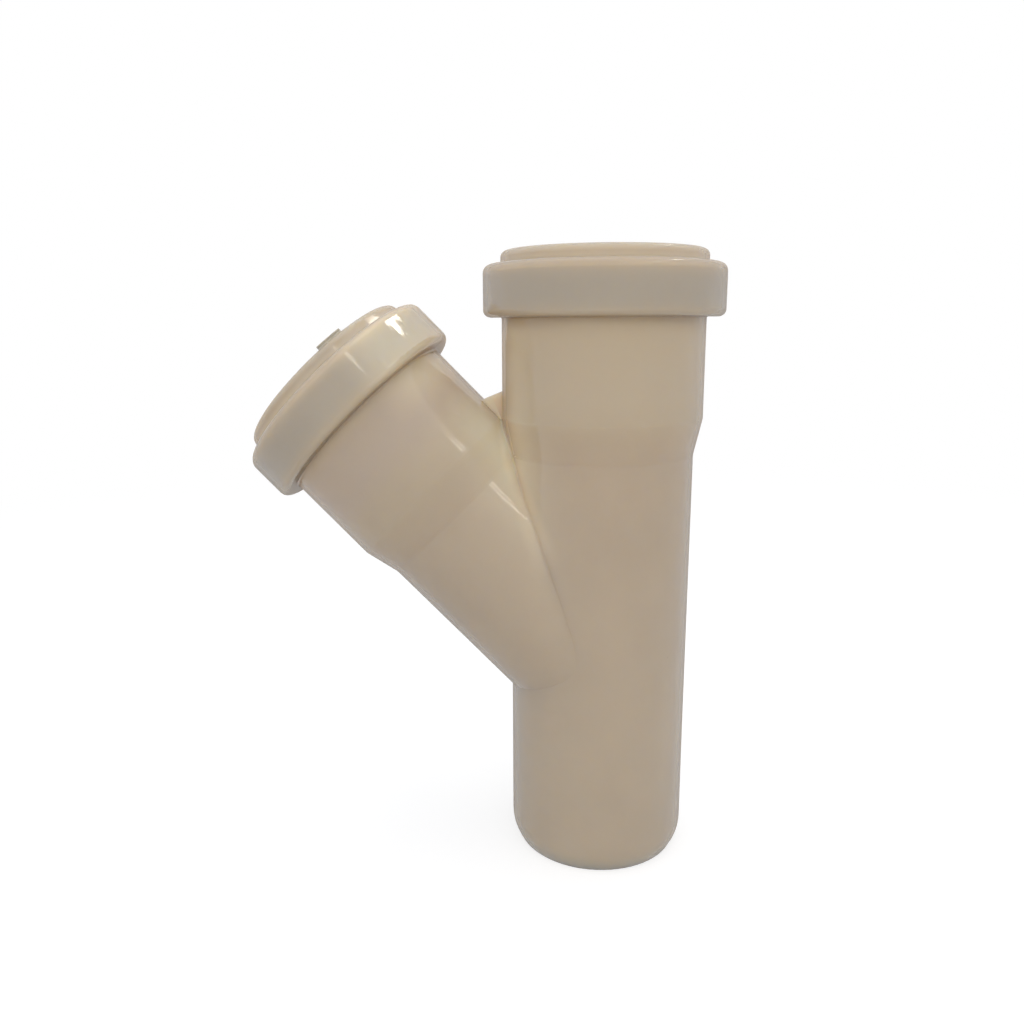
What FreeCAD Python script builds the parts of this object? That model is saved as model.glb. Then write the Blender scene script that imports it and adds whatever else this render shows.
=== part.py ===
import FreeCAD, Part
import math
import os
import Sketcher

# A forty-five degree branch tee for push-fit waste pipe. The body is one moulding with a spigot
# at its foot and two sockets, and each socket holds a rubber lip seal in its ring chamber.
# The branch is a little slimmer than the run where they cross, and both grow towards their
# sockets, so the branch meets the run along one clean curve.
# The origin is the centre of the spigot's end and +Z runs up the run to its socket. The branch
# leaves the crossing of the two axes towards -X and up. All sizes are in millimetres.

SIZES = [
    ("pipe_diameter", 40.0, "outside of the spigot and of the pipe that a socket takes"),
    ("waterway_wall", 2.3, "wall of the spigot"),
    ("socket_clearance", 0.2, "gap all round between a pipe and its socket"),
    ("socket_wall", 1.8, "wall of the sockets and of the ring chambers"),
    ("branch_angle", 45.0, "turn of the branch away from the run, in degrees"),
    ("spigot_length", 46.1, "end of the spigot to the crossing of the axes"),
    ("spigot_taper_length", 3.3, "lead-in taper at the spigot's end, along the axis"),
    ("spigot_taper_depth", 1.75, "lead-in taper at the spigot's end, taken off the radius"),
    ("spigot_taper_rounding", 9.0, "radius that blends the taper into the spigot"),
    ("spigot_edge_rounding", 0.25, "radius of the spigot's very end"),
    ("spigot_straight", 30.0, "end of the spigot to where the run's barrel begins to grow"),
    ("run_growth", 0.2, "run's barrel at its cone beyond the spigot, on the radius"),
    ("branch_drop", 0.35, "branch's barrel at the crossing short of the spigot, on the radius"),
    ("branch_growth", 0.1, "branch's barrel at its cone beyond the spigot, on the radius"),
    ("branch_bore_drop", 0.3, "branch's waterway at the crossing short of the run's, on the radius"),
    ("crease_rounding", 0.4, "radius where the branch meets the run, outside"),
    ("run_shoulder", 46.2, "crossing to where the run begins to widen into its socket"),
    ("branch_shoulder", 45.7, "crossing to where the branch begins to widen into its socket"),
    ("shoulder_length", 8.0, "cone that widens a barrel into its socket"),
    ("shoulder_rounding", 3.0, "radius at both ends of the cone, outside"),
    ("stop_rounding", 0.5, "radius at both ends of the cone, inside"),
    ("run_collar", 75.8, "crossing to the foot of the run's ring chamber"),
    ("branch_collar", 75.4, "crossing to the foot of the branch's ring chamber"),
    ("collar_length", 11.0, "ring chamber along its axis, outside"),
    ("chamber_depth", 4.0, "ring chamber's depth beyond the socket's bore"),
    ("collar_foot_rounding", 1.5, "outer edge of the collar towards the crossing"),
    ("collar_head_rounding", 1.8, "outer edge of the collar towards the mouth"),
    ("collar_root_rounding", 0.4, "inner corner where the collar stands on socket or lip"),
    ("chamber_rounding", 0.5, "corners inside the ring chamber"),
    ("run_reach", 89.65, "crossing to the run's mouth"),
    ("branch_reach", 89.7, "crossing to the branch's mouth"),
    ("lip_clearance", 0.4, "gap all round between a pipe and the lip of the mouth"),
    ("lip_wall", 1.8, "wall of the lip at the mouth"),
    ("lip_rounding", 1.4, "outer edge of the lip"),
    ("mouth_lead_in", 0.3, "small bevel inside the mouth"),
    ("web_reach", 63.6, "crossing to the top of the web in the crotch, on the bisector"),
    ("web_thickness", 3.0, "web between the two sockets"),
    ("tab_height", 0.75, "moulding tab above the rim of the branch's mouth"),
    ("tab_thickness", 0.75, "moulding tab across the rim"),
    ("tab_inset", 0.25, "bore of the mouth to the tab's inner side"),
    ("tab_spread", 17.0, "angle that the tab covers round the mouth, in degrees"),
    ("tab_turn", -58.0, "place of the tab round the mouth, in degrees from its top"),
    ("seal_side_gap", 0.2, "gap between a seal and each side of its chamber"),
    ("seal_back_gap", 0.05, "gap between a seal's back and the chamber"),
    ("seal_heel", 1.6, "thickness of the seal's back ring"),
    ("seal_root", 2.0, "thickness where the sealing lip leaves the back ring"),
    ("seal_lip_thickness", 1.1, "thickness of the sealing lip at its tip"),
    ("seal_tip_height", 1.0, "seal's inner side to the tip of the sealing lip"),
    ("seal_tip_land", 1.2, "length of the tip that bears on the pipe"),
    ("seal_rounding", 0.35, "edges of the seal"),
]

doc = FreeCAD.newDocument("branch_tee")
sheet = doc.addObject("Spreadsheet::Sheet", "sizes")
for row, (name, size, meaning) in enumerate(SIZES, start=1):
    sheet.set(f"A{row}", meaning)
    sheet.set(f"B{row}", str(size))
    sheet.setAlias(f"B{row}", name)
doc.recompute()

# Radii and heights that follow from the sheet, as expressions for the sketches.
PIPE = "sizes.pipe_diameter / 2"
WATERWAY = f"{PIPE} - sizes.waterway_wall"
RUN_BARREL = f"{PIPE} + sizes.run_growth"
BRANCH_START = f"{PIPE} - sizes.branch_drop"
BRANCH_BARREL = f"{PIPE} + sizes.branch_growth"
BRANCH_BORE_START = f"{WATERWAY} - sizes.branch_bore_drop"
SOCKET_BORE = f"{PIPE} + sizes.socket_clearance"
SOCKET = f"{SOCKET_BORE} + sizes.socket_wall"
CHAMBER = f"{SOCKET_BORE} + sizes.chamber_depth"
COLLAR = f"{CHAMBER} + sizes.socket_wall"
MOUTH_BORE = f"{PIPE} + sizes.lip_clearance"
LIP = f"{MOUTH_BORE} + sizes.lip_wall"
CHAMBER_WIDTH = "sizes.collar_length - 2 * sizes.socket_wall"
AXIS = "0"
SHARP = None


def value(expression):
    """The number that an expression on the sheet stands for."""
    return float(sheet.evalExpression(expression))


def origin_plane(body, role):
    """The body's own origin plane with this role."""
    return next(item for item in body.Origin.OriginFeatures if item.Role == role)


def new_sketch(body, name, place):
    """A sketch on the body's upright middle plane, moved and turned by a placement expression."""
    sketch = body.newObject("Sketcher::SketchObject", name)
    sketch.AttachmentSupport = [(origin_plane(body, "XZ_Plane"), "")]
    sketch.MapMode = "FlatFace"
    sketch.setExpression("AttachmentOffset", place)
    return sketch


def pin_down(sketch, index, corner, spot):
    """Hold the start of an element, or a point, at the corner's radius and height."""
    axes = (("DistanceX", -2, corner[0], spot.x), ("DistanceY", -1, corner[1], spot.y))
    for kind, axis_line, expression, size in axes:
        if expression == AXIS:
            sketch.addConstraint(Sketcher.Constraint("PointOnObject", index, 1, axis_line))
        else:
            held = sketch.addConstraint(Sketcher.Constraint(kind, -1, 1, index, 1, size))
            sketch.setExpression(f"Constraints[{held}]", expression)


def round_corner(sketch, before, after, corner, spot, back, ahead):
    """Put a tangent arc of the corner's rounding between two lines and hold its corner point."""
    radius = value(corner[2])
    half_angle = back.getAngle(ahead) / 2
    middle = (back + ahead).normalize()
    centre = spot + middle * (radius / math.sin(half_angle))
    entry = spot + back * (radius / math.tan(half_angle)) - centre
    leave = spot + ahead * (radius / math.tan(half_angle)) - centre
    turns_left = entry.x * leave.y - entry.y * leave.x > 0
    first, last = (entry, leave) if turns_left else (leave, entry)
    start_angle = math.atan2(first.y, first.x)
    end_angle = math.atan2(last.y, last.x)
    circle = Part.Circle(centre, FreeCAD.Vector(0, 0, 1), radius)
    arc = sketch.addGeometry(Part.ArcOfCircle(circle, start_angle, end_angle), False)
    entry_end, leave_end = (1, 2) if turns_left else (2, 1)
    sketch.addConstraint(Sketcher.Constraint("Tangent", before, 2, arc, entry_end))
    sketch.addConstraint(Sketcher.Constraint("Tangent", after, 1, arc, leave_end))
    held = sketch.addConstraint(Sketcher.Constraint("Radius", arc, radius))
    sketch.setExpression(f"Constraints[{held}]", corner[2])
    point = sketch.addGeometry(Part.Point(spot), True)
    sketch.addConstraint(Sketcher.Constraint("PointOnObject", point, 1, before))
    sketch.addConstraint(Sketcher.Constraint("PointOnObject", point, 1, after))
    pin_down(sketch, point, corner, spot)


def draw_outline(sketch, corners):
    """Close an outline through corners given as (radius, height, rounding) expressions."""
    spots = [FreeCAD.Vector(value(corner[0]), value(corner[1]), 0) for corner in corners]
    count = len(corners)
    back = [(spots[i - 1] - spots[i]).normalize() for i in range(count)]
    ahead = [(spots[(i + 1) % count] - spots[i]).normalize() for i in range(count)]
    cut = []
    for i, corner in enumerate(corners):
        if corner[2] is SHARP:
            cut.append(0.0)
        else:
            cut.append(value(corner[2]) / math.tan(back[i].getAngle(ahead[i]) / 2))
    for i in range(count):
        after = (i + 1) % count
        start = spots[i] + ahead[i] * cut[i]
        end = spots[after] + back[after] * cut[after]
        sketch.addGeometry(Part.LineSegment(start, end), False)
    for i, corner in enumerate(corners):
        before = (i - 1) % count
        if corner[2] is SHARP:
            sketch.addConstraint(Sketcher.Constraint("Coincident", before, 2, i, 1))
            pin_down(sketch, i, corner, spots[i])
        else:
            round_corner(sketch, before, i, corner, spots[i], back[i], ahead[i])


def turned(body, kind, name, sketch):
    """A full turn of the sketch about its own upright axis, added or cut."""
    feature = body.newObject(kind, name)
    feature.Profile = sketch
    feature.ReferenceAxis = (sketch, ["V_Axis"])
    feature.Angle = 360
    sketch.Visibility = False
    return feature


def limb(body, kind, name, place, corners):
    """One limb, a full turn of an outline that is drawn up the limb's own axis."""
    outline = new_sketch(body, f"{name}_outline", place)
    draw_outline(outline, corners)
    turned(body, kind, name, outline)
    doc.recompute()


def socket_outside(limb_name, barrel, base):
    """Corners of a socket's outside, from its barrel up to the mouth and in to the axis."""
    shoulder = f"{base}sizes.{limb_name}_shoulder"
    collar = f"{base}sizes.{limb_name}_collar"
    mouth = f"{base}sizes.{limb_name}_reach"
    return [
        (barrel, shoulder, "sizes.shoulder_rounding"),
        (SOCKET, f"{shoulder} + sizes.shoulder_length", "sizes.shoulder_rounding"),
        (SOCKET, collar, "sizes.collar_root_rounding"),
        (COLLAR, collar, "sizes.collar_foot_rounding"),
        (COLLAR, f"{collar} + sizes.collar_length", "sizes.collar_head_rounding"),
        (LIP, f"{collar} + sizes.collar_length", "sizes.collar_root_rounding"),
        (LIP, mouth, "sizes.lip_rounding"),
        (AXIS, mouth, SHARP),
    ]


def socket_inside(limb_name, base):
    """Corners of a socket's hollow: waterway, pipe stop, bore, ring chamber and mouth."""
    stop = f"{base}sizes.{limb_name}_shoulder"
    chamber = f"{base}sizes.{limb_name}_collar + sizes.socket_wall"
    chamber_end = f"{chamber} + {CHAMBER_WIDTH}"
    mouth = f"{base}sizes.{limb_name}_reach"
    return [
        (WATERWAY, stop, "sizes.stop_rounding"),
        (SOCKET_BORE, f"{stop} + sizes.shoulder_length", "sizes.stop_rounding"),
        (SOCKET_BORE, chamber, SHARP),
        (CHAMBER, chamber, "sizes.chamber_rounding"),
        (CHAMBER, chamber_end, "sizes.chamber_rounding"),
        (MOUTH_BORE, chamber_end, SHARP),
        (MOUTH_BORE, f"{mouth} - sizes.mouth_lead_in", SHARP),
        (f"{MOUTH_BORE} + sizes.mouth_lead_in", mouth, SHARP),
        (AXIS, mouth, SHARP),
    ]


# Places of the sketches: the run is drawn from the spigot's end, the branch from the crossing.
AT_FOOT = "placement(vector(0; 0; 0); rotation(vector(0; 0; 1); 0))"
AT_BRANCH = (
    "placement(vector(0; sizes.spigot_length; 0); rotation(vector(0; 0; 1); sizes.branch_angle))"
)
AT_BISECTOR = (
    "placement(vector(0; sizes.spigot_length; 0); rotation(vector(0; 0; 1); sizes.branch_angle / 2))"
)
AT_TAB = (
    "placement(vector(0; sizes.spigot_length; 0); rotation(vector(0; 0; 1); sizes.branch_angle)"
    " * rotation(vector(0; 1; 0); sizes.tab_turn))"
)
FROM_FOOT = "sizes.spigot_length + "
FROM_CROSSING = ""


def make_tee_body():
    """The moulding: run and branch, the web in the crotch, the tab, then the two hollows."""
    body = doc.addObject("PartDesign::Body", "tee_body")
    spigot_end = f"{PIPE} - sizes.spigot_taper_depth"
    limb(body, "PartDesign::Revolution", "run_outside", AT_FOOT, [
        (AXIS, AXIS, SHARP),
        (spigot_end, AXIS, "sizes.spigot_edge_rounding"),
        (PIPE, "sizes.spigot_taper_length", "sizes.spigot_taper_rounding"),
        (PIPE, "sizes.spigot_straight", SHARP),
    ] + socket_outside("run", RUN_BARREL, FROM_FOOT))
    limb(body, "PartDesign::Revolution", "branch_outside", AT_BRANCH, [
        (AXIS, AXIS, SHARP),
        (BRANCH_START, AXIS, SHARP),
    ] + socket_outside("branch", BRANCH_BARREL, FROM_CROSSING))

    joined = body.Tip
    crease_edges = [
        f"Edge{number}" for number, edge in enumerate(joined.Shape.Edges, start=1)
        if edge.Curve.TypeId == "Part::GeomBSplineCurve"
    ]
    crease = body.newObject("PartDesign::Fillet", "crease")
    crease.Base = (joined, crease_edges)
    crease.setExpression("Radius", "sizes.crease_rounding")
    joined.Visibility = False
    doc.recompute()
    if crease.Shape.Volume <= joined.Shape.Volume:
        raise RuntimeError("the crease between run and branch was not rounded")

    web_outline = new_sketch(body, "web_outline", AT_BISECTOR)
    web_half_width = "sizes.web_reach * tan(sizes.branch_angle / 2)"
    draw_outline(web_outline, [
        (AXIS, AXIS, SHARP),
        (web_half_width, "sizes.web_reach", SHARP),
        (f"-({web_half_width})", "sizes.web_reach", SHARP),
    ])
    web = body.newObject("PartDesign::Pad", "crotch_web")
    web.Profile = web_outline
    web.SideType = "Symmetric"
    web.setExpression("Length", "sizes.web_thickness")

    tab_outline = new_sketch(body, "tab_outline", AT_TAB)
    tab_inside = f"{MOUTH_BORE} + sizes.tab_inset"
    tab_outside = f"{tab_inside} + sizes.tab_thickness"
    tab_foot = "sizes.branch_reach - sizes.lip_rounding"
    tab_top = "sizes.branch_reach + sizes.tab_height"
    draw_outline(tab_outline, [
        (tab_inside, tab_foot, SHARP),
        (tab_outside, tab_foot, SHARP),
        (tab_outside, tab_top, SHARP),
        (tab_inside, tab_top, SHARP),
    ])
    tab = turned(body, "PartDesign::Revolution", "mouth_tab", tab_outline)
    tab.Midplane = True
    tab.setExpression("Angle", "sizes.tab_spread")
    doc.recompute()

    solid_before = body.Tip.Shape.Volume
    limb(body, "PartDesign::Groove", "run_hollow", AT_FOOT, [
        (AXIS, AXIS, SHARP),
        (WATERWAY, AXIS, SHARP),
    ] + socket_inside("run", FROM_FOOT))
    limb(body, "PartDesign::Groove", "branch_hollow", AT_BRANCH, [
        (AXIS, AXIS, SHARP),
        (BRANCH_BORE_START, AXIS, SHARP),
    ] + socket_inside("branch", FROM_CROSSING))
    if body.Tip.Shape.Volume >= solid_before:
        raise RuntimeError("the hollows cut nothing out of the moulding")
    return body


def make_seal(name, place):
    """A lip seal as it sits on a pipe: a back ring with a lip that slopes in from the mouth."""
    body = doc.addObject("PartDesign::Body", name)
    section = new_sketch(body, f"{name}_section", AT_FOOT)
    back = f"{CHAMBER} - sizes.seal_back_gap"
    inner_side = "sizes.seal_side_gap"
    mouth_side = f"{CHAMBER_WIDTH} - sizes.seal_side_gap"
    tip_foot = f"{inner_side} + sizes.seal_tip_height"
    draw_outline(section, [
        (back, inner_side, "sizes.seal_rounding"),
        (back, mouth_side, "sizes.seal_rounding"),
        (f"{PIPE} + sizes.seal_lip_thickness", mouth_side, "sizes.seal_rounding"),
        (PIPE, f"{tip_foot} + sizes.seal_tip_land", "sizes.seal_rounding"),
        (PIPE, tip_foot, "sizes.seal_rounding"),
        (f"{PIPE} + sizes.seal_lip_thickness", tip_foot, SHARP),
        (f"{back} - sizes.seal_heel", f"{mouth_side} - sizes.seal_root", "sizes.seal_rounding"),
        (f"{back} - sizes.seal_heel", inner_side, SHARP),
    ])
    turned(body, "PartDesign::Revolution", f"{name}_ring", section)
    body.setExpression("Placement", place)
    return body


RUN_CHAMBER = "sizes.run_collar + sizes.socket_wall"
BRANCH_CHAMBER = "(sizes.branch_collar + sizes.socket_wall)"
RUN_SEAL_PLACE = (
    f"placement(vector(0; 0; sizes.spigot_length + {RUN_CHAMBER}); rotation(vector(0; 1; 0); 0))"
)
BRANCH_SEAL_PLACE = (
    f"placement(vector(-{BRANCH_CHAMBER} * sin(sizes.branch_angle); 0;"
    f" sizes.spigot_length + {BRANCH_CHAMBER} * cos(sizes.branch_angle));"
    " rotation(vector(0; 1; 0); -sizes.branch_angle))"
)

pieces = [
    make_tee_body(),
    make_seal("run_seal", RUN_SEAL_PLACE),
    make_seal("branch_seal", BRANCH_SEAL_PLACE),
]
doc.recompute()

for item in doc.Objects:
    if "Invalid" in item.State or "Error" in item.State:
        raise RuntimeError(f"{item.Name} did not build: {item.State}")

os.makedirs("parts", exist_ok=True)
for piece in pieces:
    shape = piece.Shape
    if shape.isNull() or not shape.isValid() or len(shape.Solids) != 1:
        raise RuntimeError(f"{piece.Label} is not one valid solid")
    shape.exportStep(f"parts/{piece.Label}.step")
    box = shape.optimalBoundingBox(True, False)
    print(
        f"{piece.Label}: {shape.Volume:.1f} mm3, {len(shape.Faces)} faces, "
        f"x {box.XMin:.2f} to {box.XMax:.2f}, y {box.YMin:.2f} to {box.YMax:.2f}, "
        f"z {box.ZMin:.2f} to {box.ZMax:.2f}"
    )
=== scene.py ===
# %% [markdown]
# # A forty-five degree branch tee for push-fit waste pipe
# The real object is one polypropylene moulding: a straight run with a spigot at its foot and a
# socket on top, and a branch that leaves the run at forty-five degrees and ends in the same kind of
# socket. Each socket hides a rubber lip seal in its ring collar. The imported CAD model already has
# the true shape, so this lesson keeps it and works on what CAD leaves plain: the waxy plastic, the
# marks that the mould leaves, the rubber, and the light.

# %% Load the frame
import math

import bmesh
import bpy
from mathutils import Matrix, Vector
from mathutils.bvhtree import BVHTree


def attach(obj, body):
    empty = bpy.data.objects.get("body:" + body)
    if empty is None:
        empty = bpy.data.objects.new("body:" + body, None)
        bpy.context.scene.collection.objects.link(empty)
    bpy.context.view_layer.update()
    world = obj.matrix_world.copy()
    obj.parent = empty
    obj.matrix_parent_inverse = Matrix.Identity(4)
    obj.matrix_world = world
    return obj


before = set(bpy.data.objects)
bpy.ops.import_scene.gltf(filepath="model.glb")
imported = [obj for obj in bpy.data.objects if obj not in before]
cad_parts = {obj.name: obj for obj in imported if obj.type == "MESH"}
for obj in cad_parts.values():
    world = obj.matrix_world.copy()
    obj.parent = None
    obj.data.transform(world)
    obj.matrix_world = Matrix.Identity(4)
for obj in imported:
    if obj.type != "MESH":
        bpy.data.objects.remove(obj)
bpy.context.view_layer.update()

MM = 0.001

# %% [markdown]
# ## The places that the rest is measured from
# Every size below is in metres and in the frame's own axes: the run stands along Z with the end of
# its spigot at the origin, and the branch leaves the crossing of the two axes towards -X and up.
# Both limbs have the same socket at almost the same distance from the crossing: their collars
# differ by 0.4 mm and their ends by 0.05 mm. The paint ends softly, which hides so little, so most
# places are given as one distance along either limb.

# %% Axes and sizes of the tee
CROSSING = Vector((0.0, 0.0, 46.1 * MM))
BRANCH_TURN = math.radians(45)
RUN_AXIS = Vector((0.0, 0.0, 1.0))
BRANCH_AXIS = Vector((-math.sin(BRANCH_TURN), 0.0, math.cos(BRANCH_TURN)))
BARREL_RADIUS, COLLAR_RADIUS = 20.0 * MM, 26.0 * MM
# From the crossing to the two ends of a ring collar, and to the end of a limb.
COLLAR_FOOT, COLLAR_HEAD = 75.6 * MM, 86.8 * MM
REACH = 89.7 * MM
scene = bpy.context.scene
print("crossing at", round(CROSSING.z / MM, 1), "mm above the spigot's end")

# %% [markdown]
# ## The camera
# The photograph was taken from close in front, at the height of the run's collar, and looks a
# little down and to the left. A camera could be moved about by eye until the picture looks alike,
# but from so close a small error bends every outline. So the place, the turn and the focal length
# were fitted to the outlines of the barrels, the sockets and the collars, and are written down as
# numbers.

# %% Camera
CAMERA_PLACE = Vector((6.9008, -199.0332, 74.7819)) * MM + CROSSING
CAMERA_YAW, CAMERA_PITCH, CAMERA_ROLL = -0.1351157, 0.2095670, 0.0051994
FOCAL_PIXELS, PHOTO_SIDE, SENSOR = 892.698, 1024, 36.0
NEAREST_SEEN, FARTHEST_SEEN = 0.01, 20.0


def camera_turn(yaw, pitch, roll):
    """The camera's rotation from its turn to the right, its look downwards and its lean."""
    ahead = Vector((math.sin(yaw) * math.cos(pitch),
                    math.cos(yaw) * math.cos(pitch),
                    -math.sin(pitch)))
    right = Vector((math.cos(yaw), -math.sin(yaw), 0.0))
    down = ahead.cross(right)
    leaned_right = math.cos(roll) * right + math.sin(roll) * down
    leaned_down = -math.sin(roll) * right + math.cos(roll) * down
    return Matrix((leaned_right, -leaned_down, -ahead)).transposed()


camera_data = bpy.data.cameras.new("camera")
camera_data.sensor_width = SENSOR
camera_data.lens = FOCAL_PIXELS / PHOTO_SIDE * SENSOR
camera_data.clip_start, camera_data.clip_end = NEAREST_SEEN, FARTHEST_SEEN
camera = bpy.data.objects.new("camera", camera_data)
camera.matrix_world = Matrix.Translation(CAMERA_PLACE) @ camera_turn(
    CAMERA_YAW, CAMERA_PITCH, CAMERA_ROLL).to_4x4()
scene.collection.objects.link(camera)
scene.camera = camera
print("camera", round(camera_data.lens, 2), "mm lens,", round(CAMERA_PLACE.length, 3), "m from the origin")

# %% [markdown]
# ## Small helpers for nodes
# A material here is a chain of small steps. Each step could be wired by hand, but the recipes would
# be lost among sockets and links. So a helper adds one node and wires it up, and the recipes below
# read as the steps that they are.

# %% Materials and links
def new_material(name):
    """An empty node material with its output and a Principled shader wired together."""
    material = bpy.data.materials.new(name)
    material.use_nodes = True
    nodes = material.node_tree.nodes
    nodes.clear()
    output = nodes.new("ShaderNodeOutputMaterial")
    shader = nodes.new("ShaderNodeBsdfPrincipled")
    material.node_tree.links.new(shader.outputs["BSDF"], output.inputs["Surface"])
    return material, shader


def feed(tree, value, socket):
    """Link an output to a socket, or write a plain value on it."""
    if isinstance(value, bpy.types.NodeSocket):
        tree.links.new(value, socket)
    elif value is not None:
        socket.default_value = value


# %% Steps on values and vectors
def math_step(tree, operation, first, second=None, third=None):
    """One Math node."""
    node = tree.nodes.new("ShaderNodeMath")
    node.operation = operation
    for value, socket in zip((first, second, third), node.inputs):
        feed(tree, value, socket)
    return node.outputs[0]


def vector_step(tree, operation, first, second=None, output=0):
    """One Vector Math node."""
    node = tree.nodes.new("ShaderNodeVectorMath")
    node.operation = operation
    for value, socket in zip((first, second), node.inputs):
        feed(tree, value, socket)
    return node.outputs[output]


def split(tree, vector):
    """The X, Y and Z of a vector."""
    node = tree.nodes.new("ShaderNodeSeparateXYZ")
    feed(tree, vector, node.inputs[0])
    return node.outputs


def tilt(tree, vector, angle):
    """A vector turned about the Y axis."""
    node = tree.nodes.new("ShaderNodeVectorRotate")
    node.rotation_type = "Y_AXIS"
    feed(tree, vector, node.inputs["Vector"])
    node.inputs["Angle"].default_value = angle
    return node.outputs[0]


def axis_distance(tree, vector):
    """How far a place lies from the Z axis."""
    flat = vector_step(tree, "MULTIPLY", vector, (1.0, 1.0, 0.0))
    return vector_step(tree, "LENGTH", flat, output=1)


# %% Masks, noise and blends
RISING, FALLING = (0.0, 1.0), (1.0, 0.0)


def smooth_band(tree, value, ends, levels=RISING):
    """A soft step between two levels, over the stretch between two ends of a value."""
    node = tree.nodes.new("ShaderNodeMapRange")
    node.interpolation_type = "SMOOTHSTEP"
    labels = ("Value", "From Min", "From Max", "To Min", "To Max")
    for label, amount in zip(labels, (value, *ends, *levels)):
        feed(tree, amount, node.inputs[label])
    return node.outputs["Result"]


def overlap(tree, *masks):
    """The product of masks and strengths, so it is one only where all of them are."""
    product = masks[0]
    for mask in masks[1:]:
        product = math_step(tree, "MULTIPLY", product, mask)
    return product


def noise(tree, place, scale, detail=2.0, roughness=0.5):
    """A noise value between 0 and 1 at a place."""
    node = tree.nodes.new("ShaderNodeTexNoise")
    feed(tree, place, node.inputs["Vector"])
    feed(tree, scale, node.inputs["Scale"])
    node.inputs["Detail"].default_value = detail
    node.inputs["Roughness"].default_value = roughness
    return node.outputs["Fac"]


def blend(tree, factor, first, second, kind="RGBA"):
    """A Mix node between two colours or two vectors."""
    node = tree.nodes.new("ShaderNodeMix")
    node.data_type = kind
    sockets = [socket for socket in node.inputs if socket.enabled]
    for value, socket in zip((factor, first, second), sockets):
        feed(tree, value, socket)
    return next(socket for socket in node.outputs if socket.enabled)


# %% Node groups and bump
def new_group(name, inputs, outputs):
    """A shader node group with named sockets, and its inner input and output nodes."""
    tree = bpy.data.node_groups.new(name, "ShaderNodeTree")
    for label, kind in inputs:
        tree.interface.new_socket(label, in_out="INPUT", socket_type=kind)
    for label, kind in outputs:
        tree.interface.new_socket(label, in_out="OUTPUT", socket_type=kind)
    return tree, tree.nodes.new("NodeGroupInput").outputs, tree.nodes.new("NodeGroupOutput").inputs


def place_group(tree, group, **values):
    """Put a node group in a material with its inputs fed, and give its outputs."""
    node = tree.nodes.new("ShaderNodeGroup")
    node.node_tree = group
    for label, value in values.items():
        feed(tree, value, node.inputs[label.replace("_", " ")])
    return node.outputs


def emboss(tree, height, shader):
    """Let a height in metres tip the shader's normal."""
    bump = tree.nodes.new("ShaderNodeBump")
    bump.inputs["Distance"].default_value = 1.0
    feed(tree, height, bump.inputs["Height"])
    feed(tree, bump.outputs[0], shader.inputs["Normal"])


# %% [markdown]
# ## Studio
# The photograph has a plain white ground. A bright world alone would give it, but would also light
# the plastic too hard from below. So the world has two faces: a soft, slightly blue one that lights
# the object, and a plain white one for the camera and for reflections, which adds no light. Under
# the tee a pale grey floor keeps the soft shadow at its foot. To the camera a glow makes the
# unshadowed floor plain white, and further out it turns into the world's white, so no horizon shows.

# %% World
WHITE, BLACK = (1.0, 1.0, 1.0, 1.0), (0.0, 0.0, 0.0, 1.0)
WORLD_LIGHT = (0.92, 0.97, 1.06, 1.0)
WORLD_STRENGTH = 0.69


def white_to_sight(tree):
    """One where a camera ray, a glossy ray or a transmitted ray looks, else zero."""
    path = tree.nodes.new("ShaderNodeLightPath")
    first = math_step(tree, "MAXIMUM", path.outputs["Is Camera Ray"], path.outputs["Is Glossy Ray"])
    return math_step(tree, "MAXIMUM", first, path.outputs["Is Transmission Ray"])


scene.view_settings.view_transform = "Standard"
world = bpy.data.worlds.new("studio")
world.use_nodes = True
scene.world = world
tree = world.node_tree
tree.nodes.clear()
world_output = tree.nodes.new("ShaderNodeOutputWorld")
world_mix = tree.nodes.new("ShaderNodeMixShader")
lit = tree.nodes.new("ShaderNodeBackground")
lit.inputs["Color"].default_value = WORLD_LIGHT
lit.inputs["Strength"].default_value = WORLD_STRENGTH
seen = tree.nodes.new("ShaderNodeBackground")
seen.inputs["Color"].default_value = WHITE
tree.links.new(white_to_sight(tree), world_mix.inputs["Fac"])
tree.links.new(lit.outputs[0], world_mix.inputs[1])
tree.links.new(seen.outputs[0], world_mix.inputs[2])
tree.links.new(world_mix.outputs[0], world_output.inputs["Surface"])
print("world strength", WORLD_STRENGTH)

# %% Floor
FLOOR_SIDE = 8.0
floor_mesh = bpy.data.meshes.new("floor")
work = bmesh.new()
bmesh.ops.create_grid(work, x_segments=1, y_segments=1, size=FLOOR_SIDE / 2)
work.to_mesh(floor_mesh)
work.free()
floor = bpy.data.objects.new("floor", floor_mesh)
scene.collection.objects.link(floor)
print("floor", FLOOR_SIDE, "m wide")

# %% Floor paper
FLOOR_GREY = (0.38, 0.38, 0.38, 1.0)
FLOOR_ROUGHNESS, FLOOR_SHEEN, FLOOR_GLOW = 0.9, 0.0, 0.71
FLOOR_WHITENS = (0.12, 0.55)
floor_material, floor_shader = new_material("floor_paper")
tree = floor_material.node_tree
sight = white_to_sight(tree)
floor_place = tree.nodes.new("ShaderNodeTexCoord").outputs["Object"]
far = smooth_band(tree, vector_step(tree, "LENGTH", floor_place, output=1), FLOOR_WHITENS)
floor_shader.inputs["Base Color"].default_value = FLOOR_GREY
floor_shader.inputs["Roughness"].default_value = FLOOR_ROUGHNESS
floor_shader.inputs["Specular IOR Level"].default_value = FLOOR_SHEEN
floor_shader.inputs["Emission Strength"].default_value = FLOOR_GLOW
feed(tree, blend(tree, sight, BLACK, WHITE), floor_shader.inputs["Emission Color"])
white = tree.nodes.new("ShaderNodeEmission")
white.inputs["Color"].default_value = WHITE
floor_mix = tree.nodes.new("ShaderNodeMixShader")
feed(tree, overlap(tree, sight, far), floor_mix.inputs["Fac"])
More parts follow.
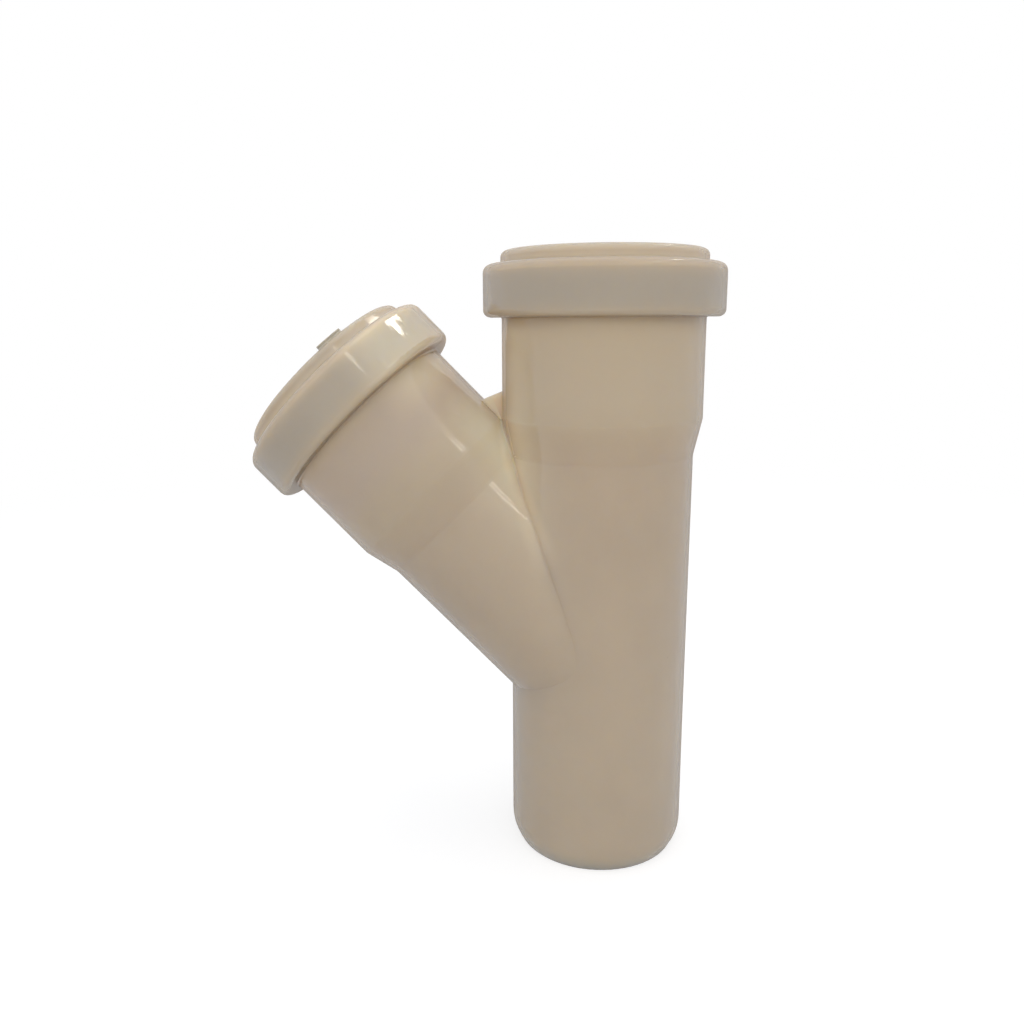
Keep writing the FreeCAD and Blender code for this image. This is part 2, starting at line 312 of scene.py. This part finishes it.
tree.links.new(floor_shader.outputs[0], floor_mix.inputs[1])
tree.links.new(white.outputs[0], floor_mix.inputs[2])
floor_output = next(node for node in tree.nodes if node.type == "OUTPUT_MATERIAL")
tree.links.new(floor_mix.outputs[0], floor_output.inputs["Surface"])
floor.data.materials.append(floor_material)
print("from", FLOOR_WHITENS[0], "to", FLOOR_WHITENS[1], "m out, the floor turns white to the camera")

# %% [markdown]
# ## Lamps
# The world lights the plastic from all sides, and two wide lamps add a little from above and from
# the front. Their reflections would be broad pale panes, which the photograph doesn't show, so those
# two light the colours alone. The gloss gets small lamps of its own, whose light on the colours is
# switched off. Each was placed by mirroring the camera's line of sight in the surface where the
# photograph shows a highlight: two thin legs of a hoop give the doubled streak on the branch, a
# window in three panes gives the broad highlight on its collar, and there is one weak spot. The
# radiance of a lamp sets how bright its reflection looks, so a small lamp's power follows from that.

# %% Soft lamps
LAMP_COLOUR = (1.0, 0.93, 0.82)
LEVEL = Vector((1.0, 0.0, 0.0))


def area_lamp(name, place, size, power, along=LEVEL, soft=False):
    """A lamp that looks at the crossing: a soft one lights the colours, any other only the gloss."""
    data = bpy.data.lights.new(name, "AREA")
    data.shape = "RECTANGLE"
    data.size, data.size_y = size
    data.energy = power
    data.color = LAMP_COLOUR
    lamp = bpy.data.objects.new(name, data)
    back = (place - CROSSING).normalized()
    side = (along - along.dot(back) * back).normalized()
    turn = Matrix((side, back.cross(side), back)).transposed().to_4x4()
    lamp.matrix_world = Matrix.Translation(place) @ turn
    lamp.visible_glossy = not soft
    lamp.visible_diffuse = soft
    scene.collection.objects.link(lamp)
    print(name, "at", [round(x, 2) for x in place], "m,", round(power, 3), "W")


CEILING_PLACE, CEILING_SIZE, CEILING_POWER = Vector((0.0, 0.0, 1.5)), (1.2, 1.2), 7.5
FRONT_PLACE, FRONT_SIZE, FRONT_POWER = Vector((0.25, -1.6, 0.5)), (1.2, 1.0), 10.3
area_lamp("ceiling", CEILING_PLACE, CEILING_SIZE, CEILING_POWER, soft=True)
area_lamp("front", FRONT_PLACE, FRONT_SIZE, FRONT_POWER, soft=True)


# %% Gloss lamps: the hoop
def gloss_lamp(name, place, size, radiance, along=LEVEL):
    """A lamp that only the gloss shows, with the power that gives its face this radiance."""
    area_lamp(name, place, size, radiance * math.pi * size[0] * size[1], along)


HOOP_LOW = CROSSING + Vector((844.8, -441.6, 764.9)) * MM
HOOP_HIGH = CROSSING + Vector((720.8, -431.6, 896.9)) * MM
HOOP_GAP, HOOP_LEG, HOOP_RADIANCE = 0.100, 0.014, 16.0
hoop_middle = (HOOP_LOW + HOOP_HIGH) / 2
hoop_along = HOOP_HIGH - HOOP_LOW
hoop_across = (hoop_middle - CROSSING).cross(hoop_along).normalized()
for leg, shift in (("near", -HOOP_GAP / 2), ("far", HOOP_GAP / 2)):
    leg_size = (hoop_along.length, HOOP_LEG)
    gloss_lamp("hoop_" + leg, hoop_middle + shift * hoop_across, leg_size, HOOP_RADIANCE, hoop_along)

# %% Gloss lamps: the window and the spot
WINDOW_RADIANCE = 15.0
WINDOW_SLOPE = Vector((-96.0, 372.0, -107.0))
# Each pane has its name, its place from the crossing in mm, and its length and width in metres.
WINDOW_PANES = (("window_head", (565.0, 378.0, 1010.0), (0.44, 0.026)),
                ("window_middle", (597.0, 337.0, 1023.0), (0.17, 0.022)),
                ("window_foot", (611.0, 315.0, 1023.0), (0.11, 0.018)))
for name, offset, size in WINDOW_PANES:
    gloss_lamp(name, CROSSING + Vector(offset) * MM, size, WINDOW_RADIANCE, WINDOW_SLOPE)
SPOT_PLACE = CROSSING + Vector((373.0, -855.0, 821.0)) * MM
SPOT_SIZE, SPOT_RADIANCE = (0.05, 0.07), 5.0
gloss_lamp("spot", SPOT_PLACE, SPOT_SIZE, SPOT_RADIANCE)

# %% [markdown]
# ## One set of coordinates for both limbs
# A mould is cut and polished along each barrel, so the marks that it leaves run along the run and,
# turned by forty-five degrees, along the branch. A node group takes the place of a point in the
# object's own coordinates and gives its place in the limb that it belongs to, with Z along that
# limb. The plastic and the rubber both use it, so it is built once.

# %% Limb coordinates
limb_group, given, made = new_group(
    "limb_coordinates", [("Place", "NodeSocketVector")],
    [("Limb Place", "NodeSocketVector"), ("Along", "NodeSocketFloat"),
     ("Radius", "NodeSocketFloat"), ("On Branch", "NodeSocketFloat")])
in_run = vector_step(limb_group, "SUBTRACT", given["Place"], tuple(CROSSING))
in_branch = tilt(limb_group, in_run, BRANCH_TURN)
up_run = math_step(limb_group, "ABSOLUTE", split(limb_group, in_run)["Z"])
on_branch = math_step(limb_group, "GREATER_THAN", split(limb_group, in_branch)["Z"], up_run)
limb_place = blend(limb_group, on_branch, in_run, in_branch, kind="VECTOR")
feed(limb_group, limb_place, made["Limb Place"])
feed(limb_group, split(limb_group, limb_place)["Z"], made["Along"])
feed(limb_group, axis_distance(limb_group, limb_place), made["Radius"])
feed(limb_group, on_branch, made["On Branch"])
print("limb coordinates turn by", round(math.degrees(BRANCH_TURN)), "degrees on the branch")

# %% [markdown]
# ## Draw lines
# Polishing leaves fine lines along a mould's bore, and each part drags along them as it is pulled
# out. On the moulding they are too shallow to see as lines, but they break a highlight into fine
# strokes, as on the branch's collar. Noise that is squeezed along the limb gives such lines, a
# slower noise gives the soft waves of a shrinking wall, and a fine one gives the grain. The group
# is built once and is used on plastic and on rubber with other depths.

# %% Draw lines
LINE_SQUEEZE, WAVE_SQUEEZE = (1.0, 1.0, 0.02), (1.0, 1.0, 0.45)
WAVES_PER_METRE, GRAINS_PER_METRE = 140.0, 2600.0
POLISHED_LINES = (0.35, 0.65)
lines_group, given, made = new_group(
    "draw_lines", [("Limb Place", "NodeSocketVector"), ("Line Width", "NodeSocketFloat"),
                   ("Line Depth", "NodeSocketFloat"), ("Wave Depth", "NodeSocketFloat"),
                   ("Grain Depth", "NodeSocketFloat")],
    [("Height", "NodeSocketFloat"), ("Polish", "NodeSocketFloat")])
line_place = vector_step(lines_group, "MULTIPLY", given["Limb Place"], LINE_SQUEEZE)
line_scale = math_step(lines_group, "DIVIDE", 1.0, given["Line Width"])
lines = noise(lines_group, line_place, line_scale, detail=3.0)
wave_place = vector_step(lines_group, "MULTIPLY", given["Limb Place"], WAVE_SQUEEZE)
waves = noise(lines_group, wave_place, WAVES_PER_METRE, detail=1.0)
grain = noise(lines_group, given["Limb Place"], GRAINS_PER_METRE, detail=2.0)
height = math_step(lines_group, "MULTIPLY", lines, given["Line Depth"])
height = math_step(lines_group, "MULTIPLY_ADD", waves, given["Wave Depth"], height)
height = math_step(lines_group, "MULTIPLY_ADD", grain, given["Grain Depth"], height)
feed(lines_group, height, made["Height"])
feed(lines_group, smooth_band(lines_group, lines, POLISHED_LINES), made["Polish"])
print("draw lines are", round(1 / LINE_SQUEEZE[2]), "times as long as they are wide")

# %% [markdown]
# ## The plastic
# The moulding is a cream polypropylene, glossy and faintly translucent. Light goes some millimetres
# into it, so a wall with black rubber behind it looks greyer and thick plastic that is lit from two
# sides glows. Subsurface scattering gives part of that by itself, since the seals really sit behind
# the collars' walls. The flow of the melt leaves a slow mottling in the colour, and the rest of the
# glow is painted over it: each mask is a product of soft steps along a limb or away from its axis,
# because a step in the limb's own coordinates stays true on both limbs and when a size changes.

# %% The plastic itself
CREAM = (0.515, 0.415, 0.31, 1)
CREAM_MOTTLE = (0.485, 0.392, 0.295, 1)
MOTTLES_PER_METRE, MOTTLE_ENDS = 45.0, (0.3, 0.7)
PLASTIC_IOR = 1.49
LIGHT_DEPTH, LIGHT_SHARES = 9.0 * MM, (1.0, 0.8, 0.5)
body_material, body_shader = new_material("moulded_polypropylene")
tree = body_material.node_tree
place = tree.nodes.new("ShaderNodeTexCoord").outputs["Object"]
limb = place_group(tree, limb_group, Place=place)
body_shader.inputs["IOR"].default_value = PLASTIC_IOR
body_shader.inputs["Subsurface Weight"].default_value = 1.0
body_shader.inputs["Subsurface Radius"].default_value = LIGHT_SHARES
body_shader.inputs["Subsurface Scale"].default_value = LIGHT_DEPTH
mottle = smooth_band(tree, noise(tree, place, MOTTLES_PER_METRE, detail=3.0), MOTTLE_ENDS)
colour = blend(tree, mottle, CREAM, CREAM_MOTTLE)
print("light goes up to", round(LIGHT_DEPTH / MM), "mm into the plastic")

# %% [markdown]
# ### Sockets and seals
# The sockets have a thinner wall than the barrels, and the air and the seal behind it change how
# much light comes back. In the photograph the run's socket looks a little paler for it and the
# branch's a little greyer. Both are painted into the colour: painted light on the run's socket, and
# painted shade on the branch's, which turns away from the light above. Round each seal the collar
# is greyer still, between the seal's two ends and on the outer face only.

# %% Sockets
RUN_SOCKET_PAINTED_LIGHT, RUN_SOCKET_FOOT = (0.54, 0.437, 0.33, 1), (50.0 * MM, 60.0 * MM)
BRANCH_SOCKET_PAINTED_SHADE, BRANCH_SOCKET_FOOT = (0.48, 0.392, 0.322, 1), (56.0 * MM, 66.0 * MM)
TOWARDS_COLLAR = (COLLAR_FOOT - 4.0 * MM, COLLAR_FOOT)
on_branch = limb["On Branch"]
on_run = math_step(tree, "SUBTRACT", 1.0, on_branch)
below_collar = smooth_band(tree, limb["Along"], TOWARDS_COLLAR, FALLING)
# Painted light on the run's socket, painted shade on the branch's.
for on_limb, foot, tint in ((on_run, RUN_SOCKET_FOOT, RUN_SOCKET_PAINTED_LIGHT),
                            (on_branch, BRANCH_SOCKET_FOOT, BRANCH_SOCKET_PAINTED_SHADE)):
    on_socket = overlap(tree, smooth_band(tree, limb["Along"], foot), below_collar, on_limb)
    colour = blend(tree, on_socket, colour, tint)
print("socket walls end", round(COLLAR_FOOT / MM, 1), "mm from the crossing")

# %% Grey band over the seals
BEHIND_SEAL, SEAL_STRENGTH = (0.45, 0.395, 0.34, 1), 0.35
SEAL_FOOT = (COLLAR_FOOT + 0.8 * MM, COLLAR_FOOT + 3.0 * MM)
SEAL_HEAD = (COLLAR_HEAD - 2.6 * MM, COLLAR_HEAD - 0.6 * MM)
OUTER_FACE = (COLLAR_RADIUS - 1.2 * MM, COLLAR_RADIUS - 0.5 * MM)
over_seal = overlap(tree, smooth_band(tree, limb["Along"], SEAL_FOOT),
                    smooth_band(tree, limb["Along"], SEAL_HEAD, FALLING),
                    smooth_band(tree, limb["Radius"], OUTER_FACE), SEAL_STRENGTH)
colour = blend(tree, over_seal, colour, BEHIND_SEAL)
print("seal bands are", round((SEAL_HEAD[1] - SEAL_FOOT[0]) / MM, 1), "mm wide")

# %% [markdown]
# ### Painted light in the notch and the crease
# Between the limbs the two barrels and the web make the plastic thickest, and light comes into it
# from both sides, so the notch glows pale and warm; that glow is painted light in the colour. The
# notch has coordinates of its own, which lie half way between the two axes. The modelled crease
# also holds a shadow where the real one is filled with light that comes through, so painted light,
# a paler stripe, runs up it in three layers that get paler towards the top.

# %% The notch's painted light
NOTCH_PAINTED_LIGHT = (0.82, 0.71, 0.545, 1)
NOTCH_TURN = BRANCH_TURN / 2
NOTCH_SIDE, NOTCH_FRONT = (0.0, 24.0 * MM), (6.0 * MM, 21.5 * MM)
NOTCH_FOOT, NOTCH_HEAD = (8.0 * MM, 40.0 * MM), (52.0 * MM, 74.0 * MM)
from_crossing = vector_step(tree, "SUBTRACT", place, tuple(CROSSING))
notch = split(tree, tilt(tree, from_crossing, NOTCH_TURN))
sideways = math_step(tree, "ABSOLUTE", notch["X"])
forwards = math_step(tree, "ABSOLUTE", notch["Y"])
in_painted_notch_light = overlap(tree, smooth_band(tree, sideways, NOTCH_SIDE, FALLING),
                   smooth_band(tree, forwards, NOTCH_FRONT, FALLING),
                   smooth_band(tree, notch["Z"], NOTCH_FOOT),
                   smooth_band(tree, notch["Z"], NOTCH_HEAD, FALLING))
# Painted light: the notch is lifted pale and warm.
colour = blend(tree, in_painted_notch_light, colour, NOTCH_PAINTED_LIGHT)
print("the notch leans by", math.degrees(NOTCH_TURN), "degrees")

# %% The crease's painted light
# Each layer of painted light has its tint, how far from both axes it fades, and how far up the branch it
# begins.
BY_BARREL = (BARREL_RADIUS, BARREL_RADIUS + 4.0 * MM)
BY_SOCKET = (BARREL_RADIUS + 2.0 * MM, BARREL_RADIUS + 3.8 * MM)
CREASE_PAINTED_LIGHT = ((0.74, 0.585, 0.42, 1), BY_BARREL, (22.0 * MM, 36.0 * MM))
CREASE_TOP_PAINTED_LIGHT = ((0.88, 0.72, 0.53, 1), BY_BARREL, (41.0 * MM, 45.0 * MM))
CREASE_HEAD_PAINTED_LIGHT = ((0.98, 0.83, 0.64, 1), BY_SOCKET, (45.0 * MM, 50.0 * MM))
CREASE_LIGHT_LAYERS = (CREASE_PAINTED_LIGHT, CREASE_TOP_PAINTED_LIGHT, CREASE_HEAD_PAINTED_LIGHT)
branch_place = tilt(tree, from_crossing, BRANCH_TURN)
run_distance = axis_distance(tree, place)
branch_distance = axis_distance(tree, branch_place)
up_branch = split(tree, branch_place)["Z"]
for tint, reach, start in CREASE_LIGHT_LAYERS:
    in_painted_crease_light = overlap(tree, smooth_band(tree, run_distance, reach, FALLING),
                        smooth_band(tree, branch_distance, reach, FALLING),
                        smooth_band(tree, up_branch, start))
    colour = blend(tree, in_painted_crease_light, colour, tint)
print("the crease has", len(CREASE_LIGHT_LAYERS), "layers of paint")

# %% [markdown]
# ### Lips, lit sides and edges
# The lips look a little greyer than the barrels, the branch's most, since its lip also gets painted
# shade. The sides of the two sockets that face each other across the notch are the palest, so each
# gets the same painted light, with the limb's own X to tell that side from the rest. Where a lip
# rises from its collar a thin pale line of painted light fills the shade at its foot, the collar's
# upper edge gets a little painted shade, and the small tab on the branch's rim is painted dark as shade.

# %% Lips
LIP_TONE = (0.46, 0.382, 0.318, 1)
BRANCH_LIP_PAINTED_SHADE, BRANCH_LIP_SHADE_STRENGTH = (0.36, 0.31, 0.265, 1), 0.5
PAST_COLLAR = (COLLAR_HEAD - 0.2 * MM, COLLAR_HEAD + 0.2 * MM)
lip = smooth_band(tree, limb["Along"], PAST_COLLAR)
colour = blend(tree, lip, colour, LIP_TONE)
# Painted shade on the branch's lip.
colour = blend(tree, overlap(tree, lip, on_branch, BRANCH_LIP_SHADE_STRENGTH), colour, BRANCH_LIP_PAINTED_SHADE)
print("lips are", round((REACH - COLLAR_HEAD) / MM, 1), "mm tall")

# %% Lit sides
LIT_SIDE = (0.70, 0.56, 0.42, 1)
UPPER_SIDE, BRANCH_LIT_FROM = (8.0 * MM, 19.0 * MM), (64.0 * MM, 74.0 * MM)
INNER_SIDE, RUN_LIT_FROM = (-20.0 * MM, -12.0 * MM), (44.0 * MM, 54.0 * MM)
LESS_ON_LIP = (1.0, 0.35)
across = split(tree, limb["Limb Place"])["X"]
# Painted light on the sides of the sockets that face the notch.
branch_lit = overlap(tree, smooth_band(tree, across, UPPER_SIDE),
                     smooth_band(tree, limb["Along"], BRANCH_LIT_FROM), on_branch,
                     smooth_band(tree, limb["Along"], PAST_COLLAR, LESS_ON_LIP))
colour = blend(tree, branch_lit, colour, LIT_SIDE)
run_lit = overlap(tree, smooth_band(tree, across, INNER_SIDE, FALLING),
                  smooth_band(tree, limb["Along"], RUN_LIT_FROM), below_collar, on_run)
colour = blend(tree, run_lit, colour, LIT_SIDE)
print("the branch's lit side starts", round(UPPER_SIDE[0] / MM), "mm above its axis")

# %% Foot of the lips, edge of the collars, and tab
LIP_FOOT_PAINTED_LIGHT, LIP_FOOT_END = (0.56, 0.475, 0.39, 1), (COLLAR_HEAD + 0.2 * MM, COLLAR_HEAD + 1.4 * MM)
LIP_SIDE = (22.8 * MM, 23.6 * MM)
EDGE_SHADE, EDGE_SIDE = (0.43, 0.35, 0.28, 1), (23.0 * MM, 23.8 * MM)
EDGE_START = (COLLAR_HEAD - 1.8 * MM, COLLAR_HEAD - 0.4 * MM)
TAB_SHADE, TAB_FOOT = (0.24, 0.20, 0.165, 1), (REACH + 0.05 * MM, REACH + 0.35 * MM)
lip_foot_painted_light = overlap(tree, lip, smooth_band(tree, limb["Along"], LIP_FOOT_END, FALLING),
                   smooth_band(tree, limb["Radius"], LIP_SIDE, FALLING))
# Painted light: a pale line at the lip's foot, where the groove holds shade.
colour = blend(tree, lip_foot_painted_light, colour, LIP_FOOT_PAINTED_LIGHT)
collar_edge = overlap(tree, smooth_band(tree, limb["Along"], EDGE_START),
                      smooth_band(tree, limb["Radius"], EDGE_SIDE))
# Painted shade on the collar's upper edge.
colour = blend(tree, collar_edge, colour, EDGE_SHADE)
tab = overlap(tree, smooth_band(tree, limb["Along"], TAB_FOOT), on_branch)
# Painted shade on the tab.
colour = blend(tree, tab, colour, TAB_SHADE)
print("the tab's shade starts", round(TAB_FOOT[0] / MM, 2), "mm from the crossing")

# %% [markdown]
# ### Specks, rim and gloss
# Burnt crumbs of plastic give a few dark specks, and a Voronoi pattern scatters them: each cell has
# one, its size and whether it shows come from the cell's random colour. Seen at a grazing angle the
# plastic looks darker and duller, as the light that has gone in comes out less there, and that
# darkening is painted shade in the colour towards the outline. The gloss is uneven, and on the
# collars the draw lines roughen it.

# %% Specks
SPECK = (0.30, 0.26, 0.21, 1)
SPECKS_PER_METRE, SPECK_SHARE = 95.0, 0.022
SPECKS_HIDDEN, SPECK_STRENGTH = 0.72, 0.7
cells = tree.nodes.new("ShaderNodeTexVoronoi")
feed(tree, place, cells.inputs["Vector"])
cells.inputs["Scale"].default_value = SPECKS_PER_METRE
cell_colour = tree.nodes.new("ShaderNodeSeparateColor")
feed(tree, cells.outputs["Color"], cell_colour.inputs[0])
speck_size = math_step(tree, "MULTIPLY", cell_colour.outputs["Red"], SPECK_SHARE)
in_speck = math_step(tree, "LESS_THAN", cells.outputs["Distance"], speck_size)
shown = math_step(tree, "GREATER_THAN", cell_colour.outputs["Green"], SPECKS_HIDDEN)
colour = blend(tree, overlap(tree, in_speck, shown, SPECK_STRENGTH), colour, SPECK)
print("specks reach out", round(SPECK_SHARE / SPECKS_PER_METRE / MM, 2), "mm at most")

# %% Rim and gloss
RIM_SHADE, RIM_ENDS, RIM_LEVELS = (0.30, 0.235, 0.17, 1), (0.45, 0.9), (0.0, 0.5)
GLOSS_PATCHES_PER_METRE, GLOSS_ENDS, GLOSS_LEVELS = 120.0, (0.3, 0.7), (0.035, 0.055)
LINE_ROUGHNESS, GRAZING_ROUGHNESS, GRAZING_ENDS = 0.02, 0.4, (0.5, 0.95)
LINE_WIDTH, LINE_DEPTH, WAVE_DEPTH, GRAIN_DEPTH = 0.45 * MM, 0.0022 * MM, 0.010 * MM, 0.00005 * MM
facing = tree.nodes.new("ShaderNodeLayerWeight").outputs["Facing"]
rim = smooth_band(tree, facing, RIM_ENDS, RIM_LEVELS)
# Painted shade towards the outline, where the surface is seen at a grazing angle.
feed(tree, blend(tree, rim, colour, RIM_SHADE), body_shader.inputs["Base Color"])
drawn = smooth_band(tree, limb["Along"], TOWARDS_COLLAR)
marks = place_group(tree, lines_group, Limb_Place=limb["Limb Place"], Line_Width=LINE_WIDTH,
                    Line_Depth=overlap(tree, drawn, LINE_DEPTH), Wave_Depth=WAVE_DEPTH,
                    Grain_Depth=GRAIN_DEPTH)
patches = noise(tree, place, GLOSS_PATCHES_PER_METRE, detail=4.0)
gloss = smooth_band(tree, patches, GLOSS_ENDS, GLOSS_LEVELS)
drawn_polish = overlap(tree, marks["Polish"], drawn)
gloss = math_step(tree, "MULTIPLY_ADD", drawn_polish, LINE_ROUGHNESS, gloss)
grazing = smooth_band(tree, facing, GRAZING_ENDS)
gloss = math_step(tree, "MULTIPLY_ADD", grazing, GRAZING_ROUGHNESS, gloss)
feed(tree, gloss, body_shader.inputs["Roughness"])
emboss(tree, marks["Height"], body_shader)
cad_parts["tee_body"].data.materials[0] = body_material
print("plastic has", len(tree.nodes), "nodes")

# %% [markdown]
# ## The rubber
# The two lip seals are moulded in dark rubber. Fresh rubber is near black and matt, with a bloom of
# pale dust that settles in patches, fine lines round it from the mould and a grain that is coarser
# than the plastic's. It could be one flat black, but the lit bloom is what shows that it is rubber.
# It uses the same two groups as the plastic, with its own depths.

# %% Rubber
RUBBER, RUBBER_BLOOM = (0.032, 0.032, 0.035, 1), (0.085, 0.083, 0.08, 1)
BLOOMS_PER_METRE, BLOOM_RAGGEDNESS, BLOOM_ENDS = 260.0, 0.65, (0.42, 0.72)
RUBBER_IOR, RUBBER_ROUGHNESS, WHOLE_BLOOM = 1.52, (0.42, 0.68), (0.0, 1.0)
RINGS_PER_METRE, RING_DEPTH = 3500.0, 0.002 * MM
RUBBER_LINE_WIDTH, RUBBER_LINE_DEPTH = 0.6 * MM, 0.0
RUBBER_WAVE_DEPTH, RUBBER_GRAIN_DEPTH = 0.01 * MM, 0.004 * MM
rubber_material, rubber_shader = new_material("seal_rubber_dark")
tree = rubber_material.node_tree
place = tree.nodes.new("ShaderNodeTexCoord").outputs["Object"]
limb = place_group(tree, limb_group, Place=place)
patches = noise(tree, place, BLOOMS_PER_METRE, detail=5.0, roughness=BLOOM_RAGGEDNESS)
bloom = smooth_band(tree, patches, BLOOM_ENDS)
feed(tree, blend(tree, bloom, RUBBER, RUBBER_BLOOM), rubber_shader.inputs["Base Color"])
bloomed_roughness = smooth_band(tree, bloom, WHOLE_BLOOM, RUBBER_ROUGHNESS)
feed(tree, bloomed_roughness, rubber_shader.inputs["Roughness"])
rubber_shader.inputs["IOR"].default_value = RUBBER_IOR
print("rubber roughness from", RUBBER_ROUGHNESS[0], "to", RUBBER_ROUGHNESS[1])

# %% Rings and grain of the rubber
ring_place = tree.nodes.new("ShaderNodeCombineXYZ")
feed(tree, limb["Along"], ring_place.inputs["Z"])
feed(tree, limb["Radius"], ring_place.inputs["X"])
rings = noise(tree, ring_place.outputs[0], RINGS_PER_METRE, detail=2.0)
marks = place_group(tree, lines_group, Limb_Place=limb["Limb Place"],
                    Line_Width=RUBBER_LINE_WIDTH, Line_Depth=RUBBER_LINE_DEPTH,
                    Wave_Depth=RUBBER_WAVE_DEPTH, Grain_Depth=RUBBER_GRAIN_DEPTH)
emboss(tree, math_step(tree, "MULTIPLY_ADD", rings, RING_DEPTH, marks["Height"]), rubber_shader)
for node in ("run_seal", "branch_seal"):
    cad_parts[node].data.materials[0] = rubber_material
print("rubber on both seals")

# %% [markdown]
# ## The parting line
# The two halves of the mould meet in the plane of the two axes, and the melt creeps a few hundredths
# of a millimetre between them. That leaves a fine raised line along both sides of the run and above
# and below the branch. It could be drawn by hand, but the exact line is the cut of that plane with
# the moulding itself: a copy of the CAD body is cut with it, the cores' side of the cut is dropped,
# and what is left is widened by two extrusions into a low ridge.

# %% Cut the body in the plane of its axes
MERGE_GAP = 0.0005 * MM
CUT_GAP = MERGE_GAP / 10
work = bmesh.new()
work.from_mesh(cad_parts["tee_body"].data)
bmesh.ops.remove_doubles(work, verts=work.verts, dist=MERGE_GAP)
surface = BVHTree.FromBMesh(work)
bmesh.ops.bisect_plane(work, geom=work.verts[:] + work.edges[:] + work.faces[:], dist=CUT_GAP,
                       plane_co=(0, 0, 0), plane_no=(0, 1, 0), clear_inner=True, clear_outer=True)
print("the cut has", len(work.edges), "edges")

# %% Keep the outer side of the cut
# The last three are radii within each wall, so a point beyond one is on the outer side.
COLLAR_ROUND = 1.4 * MM
SHOULDER, CONE = 46.0 * MM, 7.0 * MM
IN_COLLAR_WALL = COLLAR_RADIUS - 1.0 * MM
IN_SOCKET_WALL = BARREL_RADIUS + 1.3 * MM
IN_BARREL_WALL = BARREL_RADIUS - 1.0 * MM


def limb_sizes(point):
    """How far along its limb a point lies, and how far from that limb's axis."""
    offset = point - CROSSING
    axis = BRANCH_AXIS if offset.dot(BRANCH_AXIS) > abs(offset.z) else RUN_AXIS
    along = offset.dot(axis)
    return along, (offset - along * axis).length


def outside_of_wall(point):
    """Whether a point of the cut lies on the outer side of the wall."""
    along, radius = limb_sizes(point)
    if COLLAR_FOOT + COLLAR_ROUND < along < COLLAR_HEAD - COLLAR_ROUND:
        return radius > IN_COLLAR_WALL
    if along > SHOULDER + CONE:
        return radius > IN_SOCKET_WALL
    return radius > IN_BARREL_WALL


inner = [vert for vert in work.verts if not outside_of_wall(vert.co)]
bmesh.ops.delete(work, geom=inner, context="VERTS")
print("its outer side has", len(work.edges), "edges")

# %% Widen the cut into a ridge
LINE_HALF_WIDTH, LINE_RISE, LINE_SINK = 0.15 * MM, 0.045 * MM, 0.02 * MM


def outward(point):
    """The surface's own normal at a point of the plane, kept in that plane."""
    normal = surface.find_nearest(point)[1]
    return Vector((normal.x, 0.0, normal.z)).normalized()


crest = work.edges[:]
rises = {vert: outward(vert.co) for vert in work.verts}
for side in (-1, 1):
    widened = bmesh.ops.extrude_edge_only(work, edges=crest)
    for vert in (item for item in widened["geom"] if isinstance(item, bmesh.types.BMVert)):
        vert.co -= LINE_SINK * outward(vert.co)
        vert.co.y += side * LINE_HALF_WIDTH
for vert, direction in rises.items():
    vert.co += LINE_RISE * direction
work.normal_update()
turned_in = [face for face in work.faces
             if face.normal.dot(surface.find_nearest(face.calc_center_median())[1]) < 0]
bmesh.ops.reverse_faces(work, faces=turned_in)
for face in work.faces:
    face.smooth = True
line_mesh = bpy.data.meshes.new("parting_line")
work.to_mesh(line_mesh)
work.free()
print("parting line of", len(line_mesh.polygons), "faces")

# %% Give the ridge its wall and its plastic
LINE_WALL, INWARDS = 0.1 * MM, -1.0
LINE_GLOSS, WEAR_PER_METRE, WEAR_ENDS = 0.3, 300.0, (0.35, 0.65)
parting_line = bpy.data.objects.new("parting_line", line_mesh)
scene.collection.objects.link(parting_line)
wall = parting_line.modifiers.new("wall", "SOLIDIFY")
wall.thickness, wall.offset = LINE_WALL, INWARDS
line_material, line_shader = new_material("parting_line_plastic")
line_shader.inputs["Roughness"].default_value = LINE_GLOSS
tree = line_material.node_tree
place = tree.nodes.new("ShaderNodeTexCoord").outputs["Object"]
wear = smooth_band(tree, noise(tree, place, WEAR_PER_METRE, detail=4.0), WEAR_ENDS)
feed(tree, blend(tree, wear, CREAM, CREAM_MOTTLE), line_shader.inputs["Base Color"])
parting_line.data.materials.append(line_material)
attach(parting_line, "root")
print("parting line stands", round(LINE_RISE / MM, 3), "mm proud")
